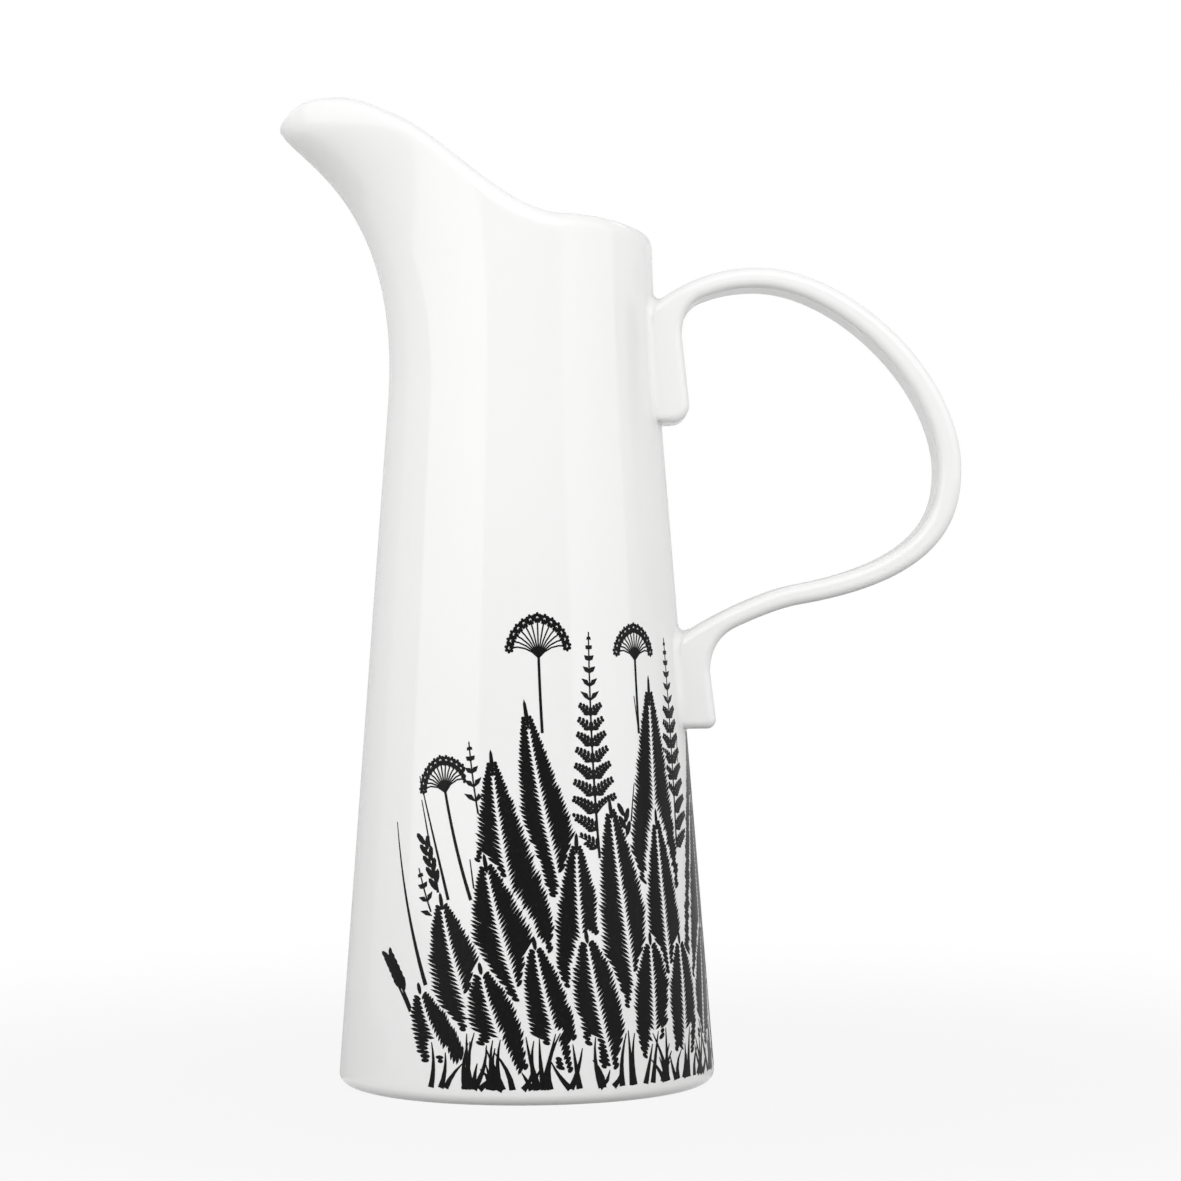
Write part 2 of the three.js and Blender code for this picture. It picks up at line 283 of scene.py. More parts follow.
def finished(name, bm, material):
    """A smooth piece, made about the body's axis, closed and facing outwards, set in the CAD frame."""
    bmesh.ops.remove_doubles(bm, verts=bm.verts, dist=MERGE_DISTANCE)
    bmesh.ops.recalc_face_normals(bm, faces=bm.faces)
    bmesh.ops.translate(bm, verts=bm.verts, vec=(AXIS_X, 0, 0))
    for face in bm.faces:
        face.smooth = True
    for edge in bm.edges:
        edge.smooth = edge.calc_face_angle(math.pi) < SHARP_ANGLE
    piece = linked(name, bm, material)
    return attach(piece, "root")


# Materials, with the sizes of their patterns

GLAZE_CLOUD = 60 * MM  # patches where the dipped glaze lies thicker
GLAZE_RIPPLE = 22 * MM  # the long waver of its surface
RIPPLE_HEIGHT = 0.12 * MM
RIPPLE_STRENGTH = 0.25
GLAZE_ROUGHNESS = 0.07
GLAZE_IOR = 1.52
WIPED_HEIGHT = 0.15 * MM  # the foot ring is wiped bare up to here
BISCUIT_GRIT = 0.5 * MM
BISCUIT_ROUGHNESS = 0.65
INK_MOTTLE = 1.2 * MM
INK_THINNING = (0.55, 0.8)  # the mottle's values between which the ink goes from dense to thin
INK_ROUGHNESS = 0.2
INK_SPECULAR = 0.12


def linear(hex_colour):
    """An sRGB hex colour as linear RGBA."""
    channels = [int(hex_colour[i:i + 2], 16) / 255 for i in (1, 3, 5)]
    return [c / 12.92 if c <= 0.04045 else ((c + 0.055) / 1.055) ** 2.4 for c in channels] + [1]


def node(tree, kind, settings=None, **inputs):
    """Adds a node. Settings are its properties; inputs are values or the sockets that feed them.

    An input has the socket's name with _ for a space, or its number as in i0. On a Mix node of
    colours, 0 is the share, and 6 and 7 are the colours.
    """
    made = tree.nodes.new(kind)
    for key, value in (settings or {}).items():
        setattr(made, key, value)
    for key, value in inputs.items():
        socket = made.inputs[int(key[1:]) if key[1:].isdigit() else key.replace("_", " ")]
        if isinstance(value, bpy.types.NodeSocket):
            tree.links.new(value, socket)
        else:
            socket.default_value = value
    return made


def new_material(name):
    material = bpy.data.materials.new(name)
    material.use_nodes = True
    material.node_tree.nodes.clear()
    return material, material.node_tree


def glazed_bone_china(name):
    """Slip-cast bone china under a clear dipped glaze: cool white, with a gloss that wavers a little.

    The ring that the jug stands on is wiped bare before firing, so it is matt and creamier.
    """
    material, tree = new_material(name)
    place = node(tree, "ShaderNodeTexCoord").outputs["Object"]
    cloud = node(tree, "ShaderNodeTexNoise", Vector=place, Scale=1 / GLAZE_CLOUD, Detail=2.0)
    body = node(tree, "ShaderNodeMix", {"data_type": "RGBA"}, i0=cloud.outputs["Fac"],
                i6=linear("#F3F3F3"), i7=linear("#EFEFEE"))
    height = node(tree, "ShaderNodeSeparateXYZ", Vector=place).outputs["Z"]
    bare = node(tree, "ShaderNodeMath", {"operation": "LESS_THAN"}, i0=height, i1=WIPED_HEIGHT).outputs[0]
    grit = node(tree, "ShaderNodeTexNoise", Vector=place, Scale=1 / BISCUIT_GRIT, Detail=1.0)
    biscuit = node(tree, "ShaderNodeMix", {"data_type": "RGBA"}, i0=grit.outputs["Fac"],
                   i6=linear("#E9E4D6"), i7=linear("#D9D2C2"))
    colour = node(tree, "ShaderNodeMix", {"data_type": "RGBA"}, i0=bare,
                  i6=body.outputs["Result"], i7=biscuit.outputs["Result"])
    rough = node(tree, "ShaderNodeMapRange", Value=bare, To_Min=GLAZE_ROUGHNESS, To_Max=BISCUIT_ROUGHNESS)
    ripple = node(tree, "ShaderNodeTexNoise", Vector=place, Scale=1 / GLAZE_RIPPLE, Detail=1.0)
    waver = node(tree, "ShaderNodeBump", Strength=RIPPLE_STRENGTH, Distance=RIPPLE_HEIGHT,
                 Height=ripple.outputs["Fac"])
    shader = node(tree, "ShaderNodeBsdfPrincipled", Base_Color=colour.outputs["Result"],
                  Roughness=rough.outputs["Result"], Normal=waver.outputs["Normal"], IOR=GLAZE_IOR)
    node(tree, "ShaderNodeOutputMaterial", Surface=shader.outputs["BSDF"])
    return material


def fired_black_print(name):
    """Black ceramic ink under the glaze: a dense black, a little thinner where the transfer dried."""
    material, tree = new_material(name)
    place = node(tree, "ShaderNodeTexCoord").outputs["Object"]
    mottle = node(tree, "ShaderNodeTexNoise", Vector=place, Scale=1 / INK_MOTTLE, Detail=2.0)
    thin = node(tree, "ShaderNodeMapRange", Value=mottle.outputs["Fac"],
                From_Min=INK_THINNING[0], From_Max=INK_THINNING[1])
    ink = node(tree, "ShaderNodeMix", {"data_type": "RGBA"}, i0=thin.outputs["Result"],
               i6=linear("#060606"), i7=linear("#161616"))
    shader = node(tree, "ShaderNodeBsdfPrincipled", Base_Color=ink.outputs["Result"],
                  Roughness=INK_ROUGHNESS, Specular_IOR_Level=INK_SPECULAR)
    node(tree, "ShaderNodeOutputMaterial", Surface=shader.outputs["BSDF"])
    return material


CHINA = glazed_bone_china("glazed_bone_china")
SLIP = glazed_bone_china("glazed_casting_slip")  # cast from the same clay, under the same glaze
INK = fired_black_print("fired_black_print")


# The body: turned with a level rim, then its front drawn out into the spout

TURNED_TOP = RIM_BACK_HEIGHT - LIP_RISE_BACK


def arc(middle, radius, start, end):
    """Points of an arc in the profile's plane, without its first."""
    for i in range(1, ROUND_STEPS + 1):
        turn = lerp(start, end, i / ROUND_STEPS)
        yield middle[0] + radius * math.cos(turn), middle[1] + radius * math.sin(turn)


def turned_lip():
    """Points over the lip from the outside, without the first: wide outside and tight inside."""
    highest = body_radius(TURNED_TOP) - LIP_OUTER
    for i in range(1, LONG_ROUND_STEPS + 1):
        turn = i / LONG_ROUND_STEPS * math.pi
        reach = LIP_OUTER if turn < math.pi / 2 else WALL - LIP_OUTER
        yield highest + reach * math.cos(turn), TURNED_TOP + LIP_RISE_BACK * math.sin(turn)


def wall_heights(bottom):
    count = math.ceil((TURNED_TOP - bottom) / WALL_STEP)
    return [lerp(bottom, TURNED_TOP, i / count) for i in range(1, count + 1)]


def turned_profile():
    """Radii and heights from the middle of the underside, over the lip, to the middle of the floor.

    The points set off by parts of RING_EDGE soften the foot ring's inner edges.
    """
    standing = body_radius(FOOT_ROUND) - FOOT_ROUND
    ring_inside = standing - FOOT_RING_WIDTH
    fillet_top = FLOOR + FLOOR_FILLET
    flat = body_radius(fillet_top) - WALL - FLOOR_FILLET
    yield 0, FOOT_RECESS
    yield ring_inside / 2, FOOT_RECESS
    yield ring_inside - FOOT_SLOPE - RING_EDGE, FOOT_RECESS
    yield ring_inside - FOOT_SLOPE, FOOT_RECESS - RING_EDGE / 4
    yield ring_inside - RING_EDGE / 2, RING_EDGE / 2
    yield ring_inside, RING_EDGE / 8
    yield ring_inside + RING_EDGE, 0
    yield standing, 0
    yield from arc((standing, FOOT_ROUND), FOOT_ROUND, -math.pi / 2, 0)
    for height in wall_heights(FOOT_ROUND):
        yield body_radius(height), height
    yield from turned_lip()
    for height in reversed(wall_heights(fillet_top)[:-1]):
        yield body_radius(height) - WALL, height
    yield flat + FLOOR_FILLET, fillet_top
    yield from arc((flat, fillet_top), FLOOR_FILLET, 0, -math.pi / 2)
    yield flat / 2, FLOOR
    yield 0, FLOOR


def drawn_out(place):
    """Where a point of the turned form lies once the spout is drawn."""
    if place.z < PULL_FROM:
        return place
    angle = round(math.atan2(place.y, place.x) / math.tau * AROUND) / AROUND * math.tau
    radius = math.hypot(place.x, place.y)
    if place.z > TURNED_TOP:
        start, out, over = lip_frame(angle)
        across = radius - body_radius(TURNED_TOP)
        rise = (place.z - TURNED_TOP) / LIP_RISE_BACK * lip_rise(angle)
        return start + out * across + over * rise
    depth = body_radius(place.z) - radius
    share = (place.z - PULL_FROM) / (TURNED_TOP - PULL_FROM)
    height = lerp(PULL_FROM, lip_start(angle), share)
    return outer_wall(angle, height) - wall_normal(angle, height) * depth


def make_body():
    bm = bmesh.new()
    points = [bm.verts.new((radius, 0, height)) for radius, height in turned_profile()]
    edges = [bm.edges.new(pair) for pair in zip(points, points[1:])]
    bmesh.ops.spin(bm, geom=points + edges, axis=(0, 0, 1), cent=(0, 0, 0), angle=math.tau,
                   steps=AROUND, use_merge=True)
    for vert in bm.verts:
        vert.co = drawn_out(vert.co)
    body = finished("glazed_body", bm, CHINA)
    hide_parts("jug_body")


# The handle: its side outline, extruded and rounded, with its ends let into the wall


def bend(start, start_way, end, end_way, pulls):
    span = (end - start).length
    return start, start + start_way * pulls[0] * span, end - end_way * pulls[1] * span, end


def strap_line():
    """Points along the middle of the strap, from its upper root to its lower one."""
    upper = Vector((body_radius(UPPER_PAD["root"]), UPPER_PAD["root"]))
    lower = Vector((body_radius(LOWER_PAD["root"]), LOWER_PAD["root"]))
    crown = Vector((CROWN_OUT, CROWN_HEIGHT))
    grip = Vector((GRIP_OUT, GRIP_HEIGHT))
    sweep = Vector((SWEEP_OUT, SWEEP_HEIGHT))
    out = Vector((1, 0))
    down = Vector((0, -1))
    leaving = Vector((math.cos(ROOT_SLOPE), math.sin(ROOT_SLOPE)))
    back = Vector((-math.cos(SWEEP_SLOPE), -math.sin(SWEEP_SLOPE)))
    bends = [
        bend(upper, leaving, crown, out, CROWN_BEND),
        bend(crown, out, grip, down, GRIP_BEND),
        bend(grip, down, sweep, back, SWEEP_BEND),
        bend(sweep, back, lower, -leaving, ROOT_BEND),
    ]
    line = [upper - leaving * ROOT_SINK]
    for points in bends:
        line += [cubic(points, i / STRAP_STEPS) for i in range(STRAP_STEPS)]
    return line + [lower, lower - leaving * ROOT_SINK]


def strap_faces():
    """Points along the strap's outer and inner faces, from the upper root. It is thickest at the grip."""
    line = strap_line()
    lengths = [0]
    for a, b in zip(line, line[1:]):
        lengths.append(lengths[-1] + (b - a).length)
    outer, inner = [], []
    for i, point in enumerate(line):
        way = (line[min(i + 1, len(line) - 1)] - line[max(i - 1, 0)]).normalized()
        side = Vector((-way.y, way.x))
        swell = math.sin(lengths[i] / lengths[-1] * math.pi) ** 2
        half = lerp(ROOT_THICKNESS, GRIP_THICKNESS, swell) / 2
        outer.append(point + side * half)
        inner.append(point - side * half)
    return outer, inner


def pad_outline(strap_end, pad):
    """From the end of a strap face, round the throat, down the pad, round its corner, into the wall."""
    top = pad["root"] - pad["drop"]

    def face(height):
        return body_radius(height) + pad["thickness"] + pad["flare"] * (top - height) / (top - pad["end"])

    before, last = strap_end
    slope = (last.y - before.y) / (last.x - before.x)
    knee = Vector((face(top), last.y + slope * (face(top) - last.x)))
    foot = Vector((face(top), top))
    for i in range(1, LONG_ROUND_STEPS + 1):
        yield quadratic(last, knee, foot, i / LONG_ROUND_STEPS)
    corner = pad["corner"]
    lean = math.atan((face(pad["end"]) - face(top)) / (top - pad["end"]))
    middle_height = pad["end"] + corner
    middle_out = face(middle_height + corner * math.sin(lean)) - corner * math.cos(lean)
    yield middle_out + corner * math.cos(lean), middle_height + corner * math.sin(lean)
    yield from arc((middle_out, middle_height), corner, lean, -math.pi / 2)
    yield body_radius(pad["end"]) - END_SINK, pad["end"]


def handle_outline():
    """The whole side outline. The strap's faces stop where the pads' throats begin."""
    outer, inner = strap_faces()
    lower_throat = body_radius(LOWER_PAD["root"]) + LOWER_PAD["thickness"] + LOWER_PAD["throat"]
    upper_throat = body_radius(UPPER_PAD["root"]) + UPPER_PAD["thickness"] + UPPER_PAD["throat"]
    outer = [p for p in outer if p.y > GRIP_HEIGHT or p.x > lower_throat]
    inner = [p for p in reversed(inner) if p.y < GRIP_HEIGHT or p.x > upper_throat]
    lower_pad = pad_outline(outer[-2:], LOWER_PAD)
    upper_pad = pad_outline(inner[-2:], UPPER_PAD)
    return [*outer, *lower_pad, *inner, *upper_pad]


def make_handle():
    bm = bmesh.new()
    near = bm.faces.new([bm.verts.new((x, -STRAP_WIDTH / 2, z)) for x, z in handle_outline()])
    swept = bmesh.ops.extrude_face_region(bm, geom=[near])["geom"]
    far_verts = [v for v in swept if isinstance(v, bmesh.types.BMVert)]
    bmesh.ops.translate(bm, verts=far_verts, vec=(0, STRAP_WIDTH, 0))
    bmesh.ops.recalc_face_normals(bm, faces=bm.faces)
    sharp = [e for e in bm.edges if abs(e.verts[0].co.y - e.verts[1].co.y) < STRAP_WIDTH / 2]
    bmesh.ops.bevel(bm, geom=sharp, offset=EDGE_ROUND, offset_type="OFFSET", affect="EDGES",
                    segments=ROUND_STEPS, profile=0.5, material=-1)
    for share in STRAP_CUTS:
        bmesh.ops.bisect_plane(bm, geom=bm.verts[:] + bm.edges[:] + bm.faces[:], dist=0,
                               plane_co=(0, share * STRAP_WIDTH, 0), plane_no=(0, 1, 0))
    for vert in bm.verts:
        radius = math.hypot(vert.co.x, vert.co.y)
        least = body_radius(vert.co.z) - PAD_SINK
        if radius < least:
            vert.co.x = math.sqrt(least**2 - vert.co.y**2)
    handle = finished("glazed_handle", bm, CHINA)
    even_shading = handle.modifiers.new("even_shading", "WEIGHTED_NORMAL")
    even_shading.weight = LARGE_FACE_WEIGHT
    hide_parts("handle")


# The slip joints: a hollow fillet of slip and glaze all round each pad


def rounded_rectangle(share, half_width, low, high, corner):
    """A point of a rounded rectangle at a share of its way round, and the direction out of it there."""
    middle = (low + high) / 2
    half_height = (high - low) / 2
    turn = share * math.tau
    way = Vector((math.cos(turn), math.sin(turn)))
    inner = Vector((half_width - corner, half_height - corner))
    spread = max(abs(way.x) / inner.x, abs(way.y) / inner.y)
    on_inner = way / spread
    flat_x = abs(way.x) / inner.x >= abs(way.y) / inner.y
    weight_x = smoothstep(abs(way.x) / inner.x / spread, 1 - CORNER_EASE, 1) if not flat_x else 1
    weight_y = smoothstep(abs(way.y) / inner.y / spread, 1 - CORNER_EASE, 1) if flat_x else 1
    out = Vector((math.copysign(weight_x, way.x), math.copysign(weight_y, way.y))).normalized()
    return on_inner + out * corner + Vector((0, middle)), out


def pad_edge(share, pad):
    """A point where a pad meets the wall, the ways out of the wall and of the pad, and the fillet."""
    root_top = pad["root"] + ROOT_THICKNESS / 2 / math.cos(ROOT_SLOPE)
    flat, out = rounded_rectangle(share, STRAP_WIDTH / 2, pad["end"], root_top, EDGE_ROUND)
    radius = body_radius(flat.y)
    x = math.sqrt(radius**2 - flat.x**2)
    rise = (flat.y - pad["end"]) / (root_top - pad["end"])
    height = flat.y - (radius - x) * math.tan(ROOT_SLOPE) * rise
    normal = wall_normal(math.atan2(flat.x, x), height)
    up = max(out.y, 0)
    down = max(-out.y, 0)
    away = Vector((-math.sin(ROOT_SLOPE) * up, out.x, math.cos(ROOT_SLOPE) * up - down)).normalized()
    above_end = flat.y - pad["end"]
    below_root = root_top - flat.y
    end_fillet = END_FILLET if above_end < below_root else ROOT_FILLET
    fillet = lerp(end_fillet, SIDE_FILLET, smoothstep(min(above_end, below_root), 0, FILLET_TAPER))
    return Vector((x, flat.x, height)), normal, away, fillet


def fillet_section(share, pad):
    """The closed section of the fillet at a share of the way round a pad."""
    point, normal, away, fillet = pad_edge(share, pad)
    middle = point + (normal + away) * (fillet / (1 + normal.dot(away)))
    for _ in range(FILLET_SETTLING):
        angle = math.atan2(middle.y, middle.x)
        normal = wall_normal(angle, middle.z)
        middle += normal * (fillet - normal.dot(middle - outer_wall(angle, middle.z)))
        middle += away * (fillet - away.dot(middle - point))
    section = []
    for i in range(FILLET_STEPS + 1):
        way = normal.slerp(away, i / FILLET_STEPS)
        section.append(middle - way * fillet)
    into_pad = away * FILLET_SINK
    into_wall = normal * FILLET_SINK
    section += [section[-1] - into_pad, point - into_pad - into_wall, section[0] - into_wall]
    return section


def make_slip_joint(name, node_name, pad):
    bm = bmesh.new()
    sections = [fillet_section(i / FILLET_AROUND, pad) for i in range(FILLET_AROUND)]
    count = len(sections[0])
    bmesh.ops.create_grid(bm, x_segments=FILLET_AROUND, y_segments=count, size=UNIT_HALF)
    for vert in bm.verts:
        i = round((vert.co.x + UNIT_HALF) * FILLET_AROUND) % FILLET_AROUND
        j = round((vert.co.y + UNIT_HALF) * count) % count
        vert.co = sections[i][j]
    joint = finished(name, bm, SLIP)
    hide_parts(node_name)


make_body()
make_handle()
make_slip_joint("upper_slip_fillet", "upper_slip_joint", UPPER_PAD)
make_slip_joint("lower_slip_fillet", "lower_slip_joint", LOWER_PAD)


# The print: lance leaves, ferns and grasses that grow up from the foot, in black. It is drawn flat in
# millimetres, across from the side that faces the camera and up from the table, then laid on the wall.

INK_THICKNESS = 0.08
INK_SINK = 0.02
PRINT_FOOT = 4.2  # the lowest ink, just above the rounded foot
PRINT_RADIUS = body_radius(60 * MM)  # half way up the print, where its width is true
FACET = 2.5  # the ink bends round the wall at cuts this far apart
CUT_CATCH = 0.0001  # corners this near to a cut count as on it
HALO = 0.5  # bare china kept between what stands in front and what stands behind
GRAIN = 0.4  # fineness of the record of what is already drawn
STEM_STEPS = 40
RIBBON_STEP = 3
DROPPED_RUN = 2  # a free stretch with no more points than this is dropped
LENS_CORNERS = 8
CLUMP_MIDDLE = 43  # what grows to the left of this leans left, and the rest leans right

# Leaves
HATCH = 1.25  # spacing of the pen strokes in a leaf
VEIN = 0.25
STROKE_STEPS = 10
STROKE_SLANT = 0.8
STROKE_REACH = (0.9, 1.0)  # least and most share of the leaf's half width
STROKE_WEIGHT = (0.85, 1.08)  # least and most thickness as a share of the spacing
SHORTEST_STROKE = 1.6  # what is left of a stroke behind a leaf is dropped when shorter
BARE_STROKES = 2  # left out at each end of a leaf
LEAF_BELLY = 0.75  # under 1, a leaf is widest below its middle
LEAF_FULLNESS = 0.8  # under 1, its sides are full
LEAF_TIP = 0.93  # the share of its length where the last stroke starts
LEAF_BOW = 6  # of the outermost leaves
BOW_SPREAD = 2
LEAN_SPREAD = 6  # in degrees
LENGTH_SPREAD = (0.92, 1.08)
WIDTH_SPREAD = (0.9, 1.1)
LEAF_STRIDE = 7  # leaves are drawn this many places apart, so that their overlaps mix
# Each row of leaves, front to back: how many, where it starts and ends, the length and width of its
# leaves at the middle of the clump, how much of the length the outermost lose, and their lean in degrees.
LEAF_ROWS = [
    (11, -11, 108, 42, 14, 0.25, 36),
    (9, -4, 99, 76, 18, 0.3, 30),
    (6, 12, 82, 110, 20, 0.25, 22),
]

# Ferns
FERN_STEM = (1.2, 0.4)  # width at the foot and at the tip
FROND_FOOT = 0.22  # the share of its length over which a frond widens
FROND_SWELL = 0.6
FROND_TAPER = 0.7
FROND_COVER = 0.55  # the share of its half width that hides what is behind
PINNA_SPACING = 4.6  # of the side stems
PINNA_CROWDING = 1.25  # over 1, they stand closer at the tip
PINNA_ANGLES = (74, 44)  # from the stem, at the foot and at the tip, in degrees
PINNA_BOW = 0.12
BARE_PINNAE = 3  # left out at the foot
PINNA_LINE = 0.7  # width of a side stem at its foot
PINNA_THINNING = 0.5  # and what it loses towards its end
SIMPLE_PINNA = 4.5  # side stems shorter than this are single leaflets
SIMPLE_WIDTH = 1.4  # of such a leaflet at its middle, over that of its ends
SIMPLE_END = 0.1
LEAFLET_SPACING = 1.2
LEAFLET_LENGTH = 2.7
LEAFLET_WIDTH = 1.05
LEAFLET_LOSS = 0.65  # the share of the length that goes towards the end of a side stem
LEAFLET_LEAST = 0.35  # the share of the length on a side stem of no reach
LEAFLET_GROWTH = 12  # the reach that adds one whole length to that, up to the full length
LEAFLET_ANGLE = math.radians(48)
# Base, tip, bow to the left, and reach of the longest side stems
FERNS = [
    ((28, 5), (21, 129), 5, 15),
    ((14, 5), (-16, 99), 9, 15),
    ((46, 5), (54, 127), -5, 15),
    ((60, 5), (88, 112), -9, 15),
    ((8, 5), (-31, 64), 9, 13),
    ((72, 5), (116, 82), -13, 14),
    ((80, 5), (130, 46), -11, 12),
]

# Flower heads
UMBEL_STALK = (1.3, 0.8)  # width at the foot and at the top
UMBEL_RAYS = 13
UMBEL_LEAN = 1.25  # of the outermost rays, in radians
RAY_LOSS = 0.12  # the share of its length that a ray loses for each radian of lean
RAY_BOW = 2
RAY_WIDTH = 0.45
FLORETS = 7  # in the ring at a ray's end
FLORET_START = 0.3
FLORET_END = 1.6
FLORET_WIDTH = 1.0
# Base, top, bow to the left, and reach of the rays of each flower head
UMBELS = [
    ((18, 5), (5, 122), 5, 11),
    ((42, 5), (38, 121), 3, 9),
    ((10, 5), (-23, 85), 7, 9),
    ((66, 5), (104, 98), -9, 11),
    ((56, 5), (74, 119), -4, 10),
]

# Grass
GRASS_SPREAD = (-26, 122)
GRASS_COUNT = 40
GRASS_WIDTH = 1.9
GRASS_HEIGHTS = (60, 122)
GRASS_FALL = 105  # how far from the clump's middle its height would come down to nothing
GRASS_LEAN = 14
GRASS_SPLAY = 0.25  # what it leans outwards for each millimetre from the middle
GRASS_BOW = 6
BLADE_TAPER = 0.85
SEEDED_EVERY = 3  # stalks
SEEDS = 12
SEED_SPACING = 0.024  # as a share of the stalk
SEED_LENGTH = 4.4
SEED_WIDTH = 1.7
SEED_ANGLE = math.radians(24)
TUFT_COUNT = 95
TUFT_WIDTH = 1.7
TUFT_COVER = 0.8  # half the width that hides what is behind, at the foot
TUFT_HEIGHTS = (9, 20)
TUFT_LEAN = 5
TUFT_BOW = 2

rng = random.Random(11)
covered = set()  # the grains of the drawing that hold something already


def turned(way, angle):
    return Vector((way.x * math.cos(angle) - way.y * math.sin(angle),
                   way.x * math.sin(angle) + way.y * math.cos(angle)))


def stem(base, tip, bow):
    """A bowed line, as a function from the share of its length to the point and the way it grows."""
    base, tip = Vector(base), Vector(tip)
    knee = (base + tip) / 2 + turned((tip - base).normalized(), math.pi / 2) * bow

    def at(t):
        return quadratic(base, knee, tip, t), ((knee - base) * (1 - t) + (tip - knee) * t).normalized()

    return at


def cover(at, half_width):
    """Records a shape along a stem, so that nothing behind it is drawn there."""
    for i in range(STEM_STEPS + 1):
        t = i / STEM_STEPS
        middle = at(t)[0] / GRAIN
        reach = (half_width(t) + HALO) / GRAIN
        for x in range(math.ceil(middle.x - reach), math.floor(middle.x + reach) + 1):
            depth = math.sqrt(reach**2 - (x - middle.x) ** 2)
            covered.update((x, y) for y in range(round(middle.y - depth), round(middle.y + depth) + 1))


def free(point):
    return point.y > PRINT_FOOT and (round(point.x / GRAIN), round(point.y / GRAIN)) not in covered


def free_runs(at, steps):
    """The stretches of a stem, as pairs of shares, that stand clear of what is in front."""
    start = None
    for i in range(steps + 2):
        clear = i <= steps and free(at(i / steps)[0])
        if clear and start is None:
            start = i
        elif not clear and start is not None:
            if i - start > DROPPED_RUN:
                yield start / steps, (i - 1) / steps
            start = None


def lens(bm, start, end, width):
    """A leaflet or a pen stroke, pointed at both ends."""
    run = end - start
    place = Matrix.Translation((start + run / 2).to_3d())
    turn = Matrix.Rotation(math.atan2(run.y, run.x) - math.pi / 2, 4, "Z")
    stretch = Matrix.Diagonal((width, run.length, 1, 1))
    bmesh.ops.create_circle(bm, cap_ends=True, segments=LENS_CORNERS, radius=UNIT_HALF,
                            matrix=place @ turn @ stretch)


def ribbon(bm, at, width):
    """A line of ink along the free stretches of a stem."""
    for start, end in free_runs(at, STEM_STEPS):
        length = (at(end)[0] - at(start)[0]).length
        pieces = max(2, math.ceil(length / RIBBON_STEP))
        made = bmesh.ops.create_grid(bm, x_segments=pieces, y_segments=1, size=UNIT_HALF)
        for vert in made["verts"]:
            t = lerp(start, end, vert.co.x + UNIT_HALF)
            point, way = at(t)
            vert.co = (point + turned(way, math.pi / 2) * width(t) * vert.co.y).to_3d()


def draw_leaf(bm, base, tip, bow, width):
    """A lance leaf of slanted pen strokes on both sides of a bare midrib."""
    at = stem(base, tip, bow)

    def half(t):
        return width / 2 * math.sin(math.pi * t**LEAF_BELLY) ** LEAF_FULLNESS

    strokes = round((Vector(tip) - Vector(base)).length / HATCH)
    for i in range(BARE_STROKES, strokes - BARE_STROKES):
        point, way = at(i / strokes)
        for side in (-1, 1):
            across = turned(way, side * math.pi / 2)
            reach = half(i / strokes) * rng.uniform(*STROKE_REACH)
            stroke = stem(point + across * VEIN, point + across * reach + way * reach * STROKE_SLANT, 0)
            for start, end in free_runs(stroke, STROKE_STEPS):
                inner, outer = stroke(start)[0], stroke(end)[0]
                thickness = HATCH * rng.uniform(*STROKE_WEIGHT)
                if (outer - inner).length > SHORTEST_STROKE:
                    lens(bm, inner, outer, thickness)
    point, way = at(LEAF_TIP)
    if free(point) and free(at(1)[0]):
        lens(bm, point, at(1)[0] + way, HATCH)
    cover(at, half)


def pinna_width(reach, t):
    """Width of the ink along a side stem: a short one is a leaflet, and a longer one is a thin line."""
    if reach < SIMPLE_PINNA:
        return SIMPLE_WIDTH * math.sin(math.pi * t) + SIMPLE_END
    return PINNA_LINE - PINNA_THINNING * t


def draw_leaflets(bm, pinna, reach):
    """Pairs of leaflets along a side stem, shorter towards its end."""
    count = round(reach / LEAFLET_SPACING)
    grown = min(1, LEAFLET_LEAST + reach / LEAFLET_GROWTH)
    for k in range(count):
        foot, run = pinna((k + 0.5) / count)
        size = LEAFLET_LENGTH * (1 - LEAFLET_LOSS * k / count) * grown
        for flank in (-1, 1):
            end = foot + turned(run, flank * LEAFLET_ANGLE) * size
            if free(foot) and free(end):
                lens(bm, foot, end, LEAFLET_WIDTH)


def draw_fern(bm, base, tip, bow, spread):
    """A frond: pairs of side stems with small leaflets, shorter towards the tip."""
    at = stem(base, tip, bow)

    def half(t):
        return spread * min(1, t / FROND_FOOT) ** FROND_SWELL * (1 - t) ** FROND_TAPER

    pairs = round((Vector(tip) - Vector(base)).length / PINNA_SPACING)
    for i in range(BARE_PINNAE, pairs):
        t = 1 - (1 - i / pairs) ** PINNA_CROWDING
        point, way = at(t)
        reach = half(t)
        for side in (-1, 1):
            out = turned(way, side * math.radians(lerp(*PINNA_ANGLES, t)))
            pinna = stem(point, point + out * reach, -side * reach * PINNA_BOW)
            if not (free(point) and free(pinna(0.5)[0])):
                continue
            ribbon(bm, pinna, functools.partial(pinna_width, reach))
            if reach > SIMPLE_PINNA:
                draw_leaflets(bm, pinna, reach)
    ribbon(bm, at, lambda t: lerp(*FERN_STEM, t))
    cover(at, lambda t: FROND_COVER * half(t))


